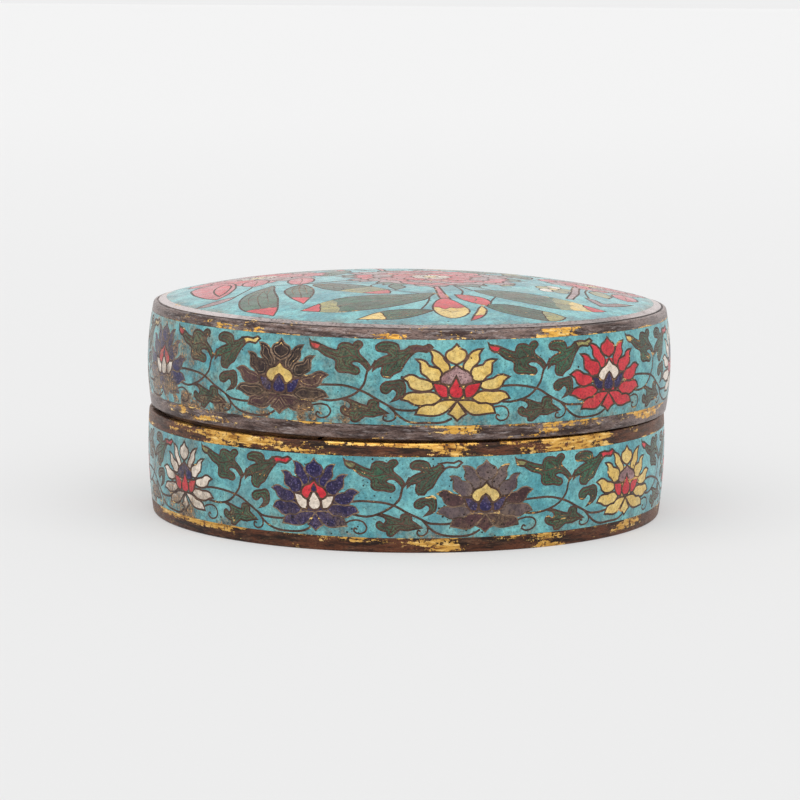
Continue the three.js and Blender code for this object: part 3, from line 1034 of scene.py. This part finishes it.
class Nodes:
    """A node tree that is filled by short calls."""

    def __init__(self, tree):
        self.tree = tree

    def add(self, kind, inputs=None, **settings):
        node = self.tree.nodes.new(kind)
        for key, value in settings.items():
            setattr(node, key, value)
        for key, value in (inputs or {}).items():
            self.put(value, node.inputs[key])
        return node

    def put(self, value, socket):
        if isinstance(value, bpy.types.NodeSocket):
            self.tree.links.new(value, socket)
        else:
            socket.default_value = value

    def maths(self, operation, a, b=0.0, c=0.0, clamp=False):
        node = self.add("ShaderNodeMath", {0: a, 1: b, 2: c}, operation=operation, use_clamp=clamp)
        return node.outputs[0]

    def times(self, a, b, clamp=False):
        return self.maths("MULTIPLY", a, b, clamp=clamp)

    def spread(self, value, low, high, start=0.0, end=1.0, kind="SMOOTHSTEP"):
        """Maps low to high onto start to end, softly unless kind is LINEAR."""
        node = self.add(
            "ShaderNodeMapRange",
            {"Value": value, "From Min": low, "From Max": high, "To Min": start, "To Max": end},
            interpolation_type=kind,
        )
        return node.outputs["Result"]

    def blend(self, share, a, b, how="MIX"):
        node = self.add("ShaderNodeMix", data_type="RGBA", blend_type=how)
        self.put(share, node.inputs["Factor"])
        self.put(a, node.inputs[MIX_COLOURS[0]])
        self.put(b, node.inputs[MIX_COLOURS[1]])
        return node.outputs[MIX_RESULT]

    def noise(self, place, scale, detail=3.0, roughness=0.55):
        node = self.add(
            "ShaderNodeTexNoise",
            {"Vector": place, "Scale": scale, "Detail": detail, "Roughness": roughness},
        )
        return node.outputs["Fac"]


def new_group(name, inputs, outputs):
    """A shader group with named inputs and outputs: name to ("Color", "Float" or "Vector")."""
    tree = bpy.data.node_groups.new(name, "ShaderNodeTree")
    for side, sockets in (("INPUT", inputs), ("OUTPUT", outputs)):
        for label, kind in sockets.items():
            tree.interface.new_socket(label, in_out=side, socket_type="NodeSocket" + kind)
    nodes = Nodes(tree)
    return nodes, nodes.add("NodeGroupInput").outputs, nodes.add("NodeGroupOutput").inputs


def fired_enamel():
    """Opaque glass fired on copper: clouded, speckled, ground flat, with burst bubbles."""
    nodes, given, made = new_group(
        "fired enamel",
        {"Place": "Vector", "Colour": "Color", "Cloud Colour": "Color", "Speck Colour": "Color",
         "Specks": "Float", "Haze": "Float", "Soil_And_Shade": "Float", "Bubbles": "Float"},
        {"Colour": "Color", "Roughness": "Float", "Height": "Float"},
    )
    place = given["Place"]
    clouds = nodes.noise(place, 190, 4, 0.6)
    colour = nodes.blend(nodes.spread(clouds, 0.4, 0.6), given["Colour"], given["Cloud Colour"])
    grains = nodes.noise(place, 2300, 2, 0.6)
    limit = nodes.spread(given["Specks"], 0.0, 1.0, 0.72, 0.42, "LINEAR")
    above = nodes.maths("SUBTRACT", grains, limit)
    specks = nodes.spread(above, 0.0, 0.05)
    colour = nodes.blend(nodes.times(specks, 0.8), colour, given["Speck Colour"])
    mottle = nodes.spread(nodes.noise(place, 1200, 4, 0.8), 0.36, 0.64, 0.7, 1.24, "LINEAR")
    shade = nodes.add("ShaderNodeCombineColor", {"Red": mottle, "Green": mottle, "Blue": mottle})
    colour = nodes.blend(1.0, colour, shade.outputs["Color"], "MULTIPLY")
    film = nodes.times(nodes.spread(nodes.noise(place, 60, 3), 0.3, 0.75), given["Haze"])
    colour = nodes.blend(film, colour, tone("c9cdc8"))
    # Soiling darkens the enamel; over the bands' front left it is painted shade.
    patches = nodes.spread(nodes.noise(place, 170, 6, 0.7), 0.38, 0.64)
    grime_and_shade = nodes.times(patches, given["Soil_And_Shade"], clamp=True)
    dirt_and_shade_tone = nodes.blend(nodes.spread(mottle, 0.8, 1.1), tone("3c2f28"), tone("806a50"))
    colour = nodes.blend(grime_and_shade, colour, dirt_and_shade_tone)
    glints = nodes.spread(nodes.noise(place, 1500, 3, 0.7), 0.57, 0.62)
    glints = nodes.times(glints, nodes.spread(grime_and_shade, 0.42, 0.8))
    colour = nodes.blend(glints, colour, tone("c9945a"))
    bubbles = nodes.add("ShaderNodeTexVoronoi", {"Vector": place, "Scale": 780.0})
    chance = nodes.add("ShaderNodeSeparateColor", {"Color": bubbles.outputs["Color"]}).outputs
    crowd = nodes.spread(nodes.noise(place, 90, 3), 0.4, 0.6, 0.3, 1.2, "LINEAR")
    burst = nodes.maths("LESS_THAN", chance["Red"], nodes.times(crowd, given["Bubbles"]))
    size = nodes.spread(chance["Green"], 0.0, 1.0, 0.08, 0.22, "LINEAR")
    depth = nodes.spread(nodes.maths("SUBTRACT", size, bubbles.outputs["Distance"]), -0.03, 0.03)
    pit = nodes.times(depth, burst)
    nodes.put(nodes.blend(pit, colour, tone("241a17")), made["Colour"])
    worn = nodes.spread(nodes.noise(place, 420, 4, 0.65), 0.3, 0.7, 0.16, 0.34, "LINEAR")
    nodes.put(nodes.maths("MULTIPLY_ADD", pit, 0.4, worn, clamp=True), made["Roughness"])
    ripple = nodes.times(nodes.noise(place, 300, 2), 0.5)
    grit = nodes.maths("MULTIPLY_ADD", grains, 0.12, ripple)
    nodes.put(nodes.maths("MULTIPLY_ADD", pit, -1.0, grit), made["Height"])
    return nodes.tree


def worn_gilding():
    """Old gilt copper: streaked and darkened metal, with gold left where Gilt says."""
    nodes, given, made = new_group(
        "worn gilding",
        {"Place": "Vector", "Gilt": "Float", "Rubbed": "Float", "Copper Colour": "Color",
         "Dark Colour": "Color", "Pale Colour": "Color", "Gold Colour": "Color", "Soot": "Float"},
        {"Colour": "Color", "Roughness": "Float", "Metallic": "Float", "Height": "Float"},
    )
    place = given["Place"]
    along = nodes.add("ShaderNodeMapping", {"Vector": place, "Scale": (1.0, 1.0, 6.0)})
    streaked = along.outputs["Vector"]
    clouds = nodes.noise(streaked, 110, 6, 0.7)
    cloudy = nodes.spread(clouds, 0.38, 0.62)
    colour = nodes.blend(cloudy, given["Dark Colour"], given["Copper Colour"])
    # Paler metal: worn streaks, and the painted highlight and reflection painted on the piece.
    rubbed = nodes.spread(nodes.noise(streaked, 260, 5, 0.7), 0.48, 0.72, 0.0, 0.5)
    worn = nodes.spread(nodes.noise(place, 240, 4, 0.7), 0.3, 0.6, 0.55, 1.0, "LINEAR")
    rubbed = nodes.maths("MAXIMUM", rubbed, nodes.times(given["Rubbed"], worn))
    colour = nodes.blend(rubbed, colour, given["Pale Colour"])
    fleck = nodes.noise(streaked, 1300, 4, 0.7)
    # Dark flecks, and the painted shadow in the scribed line.
    dark_flecks_and_groove_shadow = nodes.spread(fleck, 0.38, 0.5, 0.85, 0.0)
    dark_flecks_and_groove_shadow = nodes.times(dark_flecks_and_groove_shadow, nodes.spread(rubbed, 0.4, 0.8, 1.0, 0.35))
    dark_flecks_and_groove_shadow = nodes.maths("MAXIMUM", dark_flecks_and_groove_shadow, given["Soot"])
    colour = nodes.blend(dark_flecks_and_groove_shadow, colour, tone("1d1414"))
    # Gold stays in long ragged patches, with pits in it and loose flecks round it.
    long_patches = nodes.noise(streaked, 75, 6, 0.68)
    crumbs = nodes.noise(place, 800, 5, 0.7)
    ragged = nodes.maths("MULTIPLY_ADD", crumbs, 0.32, nodes.times(long_patches, 0.68))
    cover = nodes.maths("MULTIPLY_ADD", given["Gilt"], 0.36, ragged)
    gold = nodes.spread(cover, 0.685, 0.705)
    gold = nodes.times(gold, nodes.spread(crumbs, 0.4, 0.47))
    dust = nodes.spread(nodes.noise(place, 1700, 3, 0.7), 0.56, 0.6, 0.0, 0.9)
    dust = nodes.times(dust, nodes.spread(cover, 0.635, 0.695))
    gold = nodes.maths("MAXIMUM", gold, dust)
    # Painted shade and painted highlights on the gold: darker streaks, pale spots.
    sheen = nodes.noise(streaked, 300, 4, 0.6)
    gold_with_painted_sheen = nodes.blend(nodes.spread(sheen, 0.34, 0.52), tone("96642f"), given["Gold Colour"])
    gold_with_painted_sheen = nodes.blend(nodes.spread(sheen, 0.54, 0.68), gold_with_painted_sheen, tone("fbd68c"))
    nodes.put(nodes.blend(gold, colour, gold_with_painted_sheen), made["Colour"])
    rough = nodes.spread(nodes.noise(streaked, 700, 4, 0.7), 0.3, 0.7, 0.3, 0.62, "LINEAR")
    nodes.put(nodes.maths("MULTIPLY_ADD", gold, -0.08, rough), made["Roughness"])
    nodes.put(nodes.spread(gold, 0.0, 1.0, 0.62, 0.95, "LINEAR"), made["Metallic"])
    scratched = nodes.maths("MULTIPLY_ADD", fleck, 0.6, nodes.times(clouds, 0.8))
    nodes.put(nodes.maths("MULTIPLY_ADD", gold, 0.5, scratched), made["Height"])
    return nodes.tree


ENAMEL_GROUP = fired_enamel()
GILDING_GROUP = worn_gilding()
ENAMEL_RELIEF = 0.04 * MM
METAL_RELIEF = 0.08 * MM


def new_material(name, group, values, bump, **shader):
    """A material whose Principled shader is fed by one of the shared groups."""
    material = bpy.data.materials.new(name)
    material.use_nodes = True
    nodes = Nodes(material.node_tree)
    principled = material.node_tree.nodes["Principled BSDF"]
    place = nodes.add("ShaderNodeTexCoord").outputs["Object"]
    work = nodes.add("ShaderNodeGroup", node_tree=group)
    work.name = group.name
    nodes.put(place, work.inputs["Place"])
    for label, value in values.items():
        nodes.put(value, work.inputs[label])
    nodes.put(work.outputs["Colour"], principled.inputs["Base Color"])
    nodes.put(work.outputs["Roughness"], principled.inputs["Roughness"])
    if "Metallic" in work.outputs:
        nodes.put(work.outputs["Metallic"], principled.inputs["Metallic"])
    relief = nodes.add("ShaderNodeBump", {"Height": work.outputs["Height"], "Distance": bump})
    nodes.put(relief.outputs["Normal"], principled.inputs["Normal"])
    for label, value in shader.items():
        nodes.put(value, principled.inputs[label.replace("_", " ")])
    material.diffuse_color = values.get("Colour", values.get("Copper Colour"))
    return nodes, work, material


def read_marks(nodes, work, labels):
    """Feeds a group what is painted on the piece under the names of these inputs."""
    for label in labels:
        mark = nodes.add("ShaderNodeAttribute", attribute_name=label.lower())
        nodes.put(mark.outputs["Fac"], work.inputs[label])


def enamel(name, colour, clouds, specks, share, haze, shine=0.5):
    """An enamel of three colours. share is how much of it is specks, haze how filmed it is."""
    values = {"Colour": tone(colour), "Cloud Colour": tone(clouds), "Speck Colour": tone(specks),
              "Specks": share, "Haze": haze}
    nodes, work, material = new_material(
        name + " enamel", ENAMEL_GROUP, values, ENAMEL_RELIEF, Specular_IOR_Level=shine)
    read_marks(nodes, work, ("Soil_And_Shade", "Bubbles"))
    return material


def old_metal(name, copper, dark, pale, gold, gilt=None):
    """Worn gilt metal, alike all over where gilt is given, or else as painted on the piece."""
    values = {"Copper Colour": tone(copper), "Dark Colour": tone(dark), "Pale Colour": tone(pale),
              "Gold Colour": tone(gold), "Gilt": gilt or 0.0, "Rubbed": 0.0, "Soot": 0.0}
    nodes, work, material = new_material(name, GILDING_GROUP, values, METAL_RELIEF)
    if gilt is None:
        read_marks(nodes, work, ("Gilt", "Rubbed", "Soot"))
    return material


ENAMEL_MATERIALS = [
    enamel("turquoise", "4b959f", "6fb9bb", "386c6c", 0.4, 0.08, 0.35),
    old_metal("wire", "62483e", "463329", "8a6c5a", "cf9a58", 0.24),
    old_metal("bright wire", "8f745e", "4a3b33", "bda58c", "dcae66", 0.26),
    enamel("leaf green", "346247", "384a38", "1c1c17", 0.6, 0.03, 0.3),
    enamel("yellow", "d9b45a", "e4c676", "b48638", 0.36, 0.03),
    enamel("red", "c42231", "d4343f", "8a1c28", 0.44, 0.01, 0.35),
    enamel("white", "e2d2c1", "ecdfd0", "a8917c", 0.34, 0.03),
    enamel("cobalt", "191541", "29224f", "5f5784", 0.5, 0.01, 0.25),
    enamel("aubergine", "1b1416", "2e2023", "54413a", 0.4, 0.01, 0.25),
    enamel("rose", "8e6668", "b08d8c", "553c40", 0.6, 0.05, 0.35),
    enamel("pink", "bb4851", "c96268", "86343e", 0.45, 0.04, 0.3),
    enamel("faded leaf", "7f8050", "a3994f", "464b34", 0.58, 0.05),
    enamel("wine", "3a2024", "4b2c30", "6e4c48", 0.42, 0.02, 0.3),
    enamel("ash purple", "54444a", "6e5c5a", "3a2b2c", 0.5, 0.04, 0.25),
]
BASE_COPPER = old_metal("worn gilt copper of the base", "6a3e29", "251711", "8f6a52", "deac58")
LID_COPPER = old_metal("worn gilt copper of the lid", "826d66", "3e2d29", "cfc4c2", "e8b255")
FLANGE_COPPER = old_metal("flange copper", "7a5230", "4a3020", "a07a4c", "c9923f")


# ---- Wear, painted highlights and painted shade on the pieces ----------------------------------

# Sides turning away get a painted reflection; the left side a stronger painted highlight.
LEFT_EDGE = (-110, -72, 20)  # where the sides turn away, in degrees: start, end and fade
RIGHT_EDGE = (62, 110, 24)
LEFT_SIDE = (-110, -40, 20)
BEVEL = (DOME_RADIUS - 0.5, 60.3)  # radii of the bevel on the lid's shoulder, painted pale as a highlight
# The scribed line's floor, where a painted shadow darkens the copper.
SCRIBED_FLOOR = (60.35, 60.75)
OUTSIDE_FROM = 60  # radius beyond which a wall is its outer side


def painted(piece, name, value_at):
    """Paints a value on every point of a piece, from its angle in degrees from the front towards
    +X, its height and its radius."""
    layer = piece.data.attributes.new(name, "FLOAT", "POINT")
    values = []
    for vertex in piece.data.vertices:
        x, y, z = (c / MM for c in vertex.co)
        values.append(value_at(math.degrees(math.atan2(x, -y)), z, math.hypot(x, y)))
    layer.data.foreach_set("value", values)


def patch_share(angle, start, end, fade=7):
    """How far an angle lies in a patch: 1 in its middle, falling to 0 beyond its ends."""
    half = (end - start) / 2
    off = abs((angle - start - half + 180) % 360 - 180)
    return min(1, max(0, (half + fade / 2 - off) / fade))


def paint_gilt(piece, part, patches, bevel_from=math.inf):
    """Where gold is left on the rims, where the metal is painted pale as a highlight on the bevel
    and as a reflection where the sides turn away, and the painted shadow in the scribed line. A
    patch of gold is (start, end, amount, low, high): its ends in degrees and its span of height.
    A little is left all along the enamel's edges too. The bevel is above a height."""
    band_low, band_high = part["band"]

    def gilt(angle, z, radius):
        edge = min(abs(z - band_low), abs(z - band_high))
        amount = 0.48 if edge < 0.35 and radius > OUTSIDE_FROM else 0.22
        for start, end, strength, low, high in patches:
            if low - 0.1 <= z <= high + 0.1:
                amount = max(amount, strength * patch_share(angle, start, end, 9))
        return amount

    # Painted highlight on the bevel, stronger on the left; painted reflection on turned sides.
    def rubbed(angle, z, radius):
        side = min(patch_share(angle, *LEFT_EDGE) + patch_share(angle, *RIGHT_EDGE), 1)
        if z > bevel_from and BEVEL[0] < radius < BEVEL[1]:
            return 0.5 + 0.8 * max(side, patch_share(angle, *LEFT_SIDE))
        return 0.5 * side

    # Painted shadow in the scribed line, weaker on the left side.
    def soot(angle, z, radius):
        if z > bevel_from and SCRIBED_FLOOR[0] < radius < SCRIBED_FLOOR[1]:
            return 0.7 - 0.6 * patch_share(angle, *LEFT_SIDE)
        return 0.0

    painted(piece, "gilt", gilt)
    painted(piece, "rubbed", rubbed)
    painted(piece, "soot", soot)


def paint_wear(piece, soil_and_shade, bubbled):
    """Soiling and painted shade from a rule of angle, height and radius, and crowds of burst
    bubbles.
    """

    def bubbles(angle, z, radius):
        share = 0.06
        for start, end, amount in bubbled:
            share = max(share, amount * patch_share(angle, start, end))
        return share

    painted(piece, "soil_and_shade", soil_and_shade)
    painted(piece, "bubbles", bubbles)


def soiled_and_shaded_band(part, rise, amount, patches):
    """Soiling that lies along the lower edge of a band. A patch is (start, end, amount, rise,
    film):
    there it lies deeper and higher, over a film that covers the band's whole height. The films
    over the left side of the front are painted shade; the others are soiling."""
    low = part["band"][0]

    def soil_and_shade(angle, z, radius):
        share, height, film = amount, rise, 0.08
        for start, end, strength, reach, film_and_shade in patches:
            near = patch_share(angle, start, end, 24)
            share = max(share, strength * near)
            height = max(height, reach * near)
            film = max(film, film_and_shade * near)
        return share * max(0.0, 1 - (z - low) / height) ** 1.1 + film

    return soil_and_shade


def soiled_dome(angle, z, radius):
    """A film all over, a little more in the middle, and soiling along the last 3 mm of the edge."""
    middle = max(0.0, 1 - radius / 50)
    edge = max(0.0, (radius - DOME_RADIUS + 3) / 3)
    return 0.22 + 0.2 * middle + 0.5 * edge


# ---- Putting the box together ------------------------------------------------------------------


def dress(piece, materials, node, seat=None):
    """Gives a piece its materials and its seat, and puts it in place of its node."""
    for material in materials:
        piece.data.materials.append(material)
    settle(piece, seat)
    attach(piece, "root")
    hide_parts(node)


# Where the lotuses sit, in degrees from the front.
LID_LOTUSES = [9.5, 46.0, 81.5, 117.5, 153.0, 189.0, 225.5, 261.0, 294.7, 332.4]
BASE_LOTUSES = [-19.4, 16.5, 54.7, 89.5, 126.0, 162.0, 198.0, 234.0, 270.0, 304.7]

base_copper = make_base_body()
paint_gilt(base_copper, BASE, [
    (-66, -24, 0.6, 23.3, 25), (-48, -12, 0.5, 21.8, 25), (-24, 50, 0.58, 24.1, 25),
    (2, 14, 0.62, 21.8, 25), (8, 13, 0.9, 22.2, 25), (20, 50, 0.58, 22.6, 25),
    (30, 44, 0.8, 22.8, 25), (-73, -40, 0.6, 1.6, 3.4), (-20, 40, 0.46, 1.8, 3.4),
    (5, 12, 0.95, 0.4, 3.4), (27, 36, 0.72, 0, 3.4), (50, 64, 0.62, 0.6, 3.4),
    (100, 125, 0.6, 21.8, 25), (150, 172, 0.66, 22, 25), (205, 230, 0.6, 22, 25),
    (130, 150, 0.56, 0, 3.4), (190, 215, 0.64, 0, 3.4)])
dress(base_copper, [BASE_COPPER], "base_body")

lid_copper = make_lid_body()
paint_gilt(lid_copper, LID, [
    (-47, -39, 0.42, 22.4, 23.6), (-9, 2, 0.72, 22.3, 23.4), (28, 37, 1.0, 22.6, 24.3),
    (-66, -30, 0.46, 0.9, 3.6), (7, 16, 0.66, 1.2, 3.4), (26, 36, 0.6, 1, 3.4),
    (57, 70, 0.6, 0.6, 3.4), (110, 130, 0.58, 0, 3.4), (170, 195, 0.62, 0, 3.4),
    (230, 250, 0.58, 0, 3.4), (140, 155, 0.6, 22.4, 24.4), (250, 262, 0.62, 22.4, 24.4)],
    bevel_from=24.4)
dress(lid_copper, [LID_COPPER], "lid_body", LID_SEAT)

flange = make_flange()
dress(flange, [FLANGE_COPPER], "base_flange")

base_kinds = ["blue", "dusky", "yellow", "red", "white"] * 2
base_tips = [("faded leaf", "turquoise"), ("faded leaf", "red"), ("red", "red"), ("yellow", "red"),
             ("faded leaf", "red")] * 2
base_pattern = draw_band(BASE_LOTUSES, base_kinds, base_tips, centre=12.3, squeeze=0.966,
                         breadth=0.94, seed=11)
base_band = make_band("base_enamel", BASE, base_pattern)
# Films over the front left (-100 to 4 degrees) are painted shade; the rest soiling.
base_soil_and_shade = soiled_and_shaded_band(BASE, rise=5.5, amount=0.6, patches=[
    (-100, -44, 0.8, 12, 0.6), (-56, -16, 0.6, 8, 0.22), (-30, 4, 0.6, 8, 0.16),
    (10, 24, 0.6, 16, 0.3), (150, 190, 0.7, 14, 0.3)])
paint_wear(base_band, base_soil_and_shade, [(-24, 2, 0.9), (4, 24, 0.7), (100, 130, 0.6), (215, 240, 0.7)])
dress(base_band, ENAMEL_MATERIALS, "base_enamel_band")

lid_kinds = ["yellow", "red", "white", "blue", "purple"] * 2
lid_tips = [("red", "faded leaf"), ("yellow", "red"), ("red", "yellow"), ("red", "yellow"),
            ("red", "wine")] * 2
lid_pattern = draw_band(LID_LOTUSES, lid_kinds, lid_tips, centre=12.65, squeeze=1.0,
                        breadth=1.0, seed=3)
lid_band = make_band("lid_enamel", LID, lid_pattern)
# Films over the front left (-100 to 2 degrees) are painted shade; the back one soiling.
lid_soil_and_shade = soiled_and_shaded_band(LID, rise=6.5, amount=0.7, patches=[
    (-100, -38, 1.7, 8, 0.75), (-42, 2, 1.0, 6, 0.42), (200, 240, 1.2, 8, 0.4)])
paint_wear(lid_band, lid_soil_and_shade, [(-40, -22, 0.15), (150, 180, 0.3)])
dress(lid_band, ENAMEL_MATERIALS, "lid_enamel_band", LID_SEAT)

dome = make_dome(draw_dome())
paint_wear(dome, soiled_dome, [(-40, -10, 0.12), (140, 200, 0.2)])
dress(dome, ENAMEL_MATERIALS, "lid_enamel_dome", LID_SEAT)


# ---- Floor, light and camera -------------------------------------------------------------------


def make_floor():
    """A wide pale floor, with painted light: its material a shade lighter far away, and a faint
    glow that lightens the shadows round the box.
    """
    leave_edit_mode()
    bpy.ops.mesh.primitive_plane_add(size=80)
    floor = bpy.context.object
    floor.name = "pale_floor"
    paper = bpy.data.materials.new("pale floor")
    paper.use_nodes = True
    nodes = Nodes(paper.node_tree)
    shader = paper.node_tree.nodes["Principled BSDF"]
    place = nodes.add("ShaderNodeTexCoord").outputs["Object"]
    back = nodes.add("ShaderNodeSeparateXYZ", {"Vector": place}).outputs["Y"]
    grain = nodes.noise(place, 900, 2)
    # Painted light: the floor is a shade lighter towards the back.
    shade = nodes.blend(nodes.spread(back, -0.1, 2.5), tone("b4b4b4"), tone("bababa"))
    shade = nodes.blend(nodes.times(grain, 0.03), shade, tone("a0a0a0"))
    nodes.put(shade, shader.inputs["Base Color"])
    # A faint glow, painted light that lightens the shadows round the box.
    for label, value in {"Emission Color": (1, 1, 1, 1), "Emission Strength": 0.3,
                         "Roughness": 0.9, "Specular IOR Level": 0.1}.items():
        shader.inputs[label].default_value = value
    floor.data.materials.append(paper)


def make_sun(direction, strength, softness):
    """Light from overhead, as soft as a sky of so many degrees across."""
    sun = bpy.data.lights.new("overhead_sky", "SUN")
    sun.energy = strength
    sun.angle = math.radians(softness)
    holder = new_object("overhead_sky", sun)
    holder.rotation_euler = Vector(direction).to_track_quat("-Z", "Y").to_euler()


def make_world(seen, lighting, reflected):
    """White surroundings: as the camera sees them, as they light, and as they are reflected."""
    world = bpy.data.worlds.new("soft studio")
    world.use_nodes = True
    nodes = Nodes(world.node_tree)
    background = world.node_tree.nodes["Background"]
    background.inputs["Color"].default_value = (1, 1, 1, 1)
    path = nodes.add("ShaderNodeLightPath").outputs
    strength = nodes.maths("MULTIPLY_ADD", path["Is Camera Ray"], seen - reflected, reflected)
    strength = nodes.maths("MULTIPLY_ADD", path["Is Diffuse Ray"], lighting - reflected, strength)
    nodes.put(strength, background.inputs["Strength"])
    bpy.context.scene.world = world


def make_camera(place, looking_down, leaning):
    """A long lens towards the back; both angles in degrees."""
    lens = bpy.data.cameras.new("camera")
    lens.lens = 133.5
    lens.sensor_width = 36
    lens.clip_start = 0.01
    lens.clip_end = 200
    camera = new_object("camera", lens)
    pitch = Matrix.Rotation(math.radians(90 - looking_down), 4, "X")
    roll = Matrix.Rotation(math.radians(leaning), 4, "Z")
    camera.matrix_world = Matrix.Translation(place) @ pitch @ roll
    bpy.context.scene.camera = camera


make_floor()
make_world(seen=0.865, lighting=0.55, reflected=0.95)
make_sun(direction=(0.02, 0.44, -0.87), strength=2.25, softness=100)
make_camera(place=(-0.0016, -0.712, 0.1229), looking_down=7.74, leaning=0.41)
bpy.context.scene.view_settings.view_transform = "Standard"
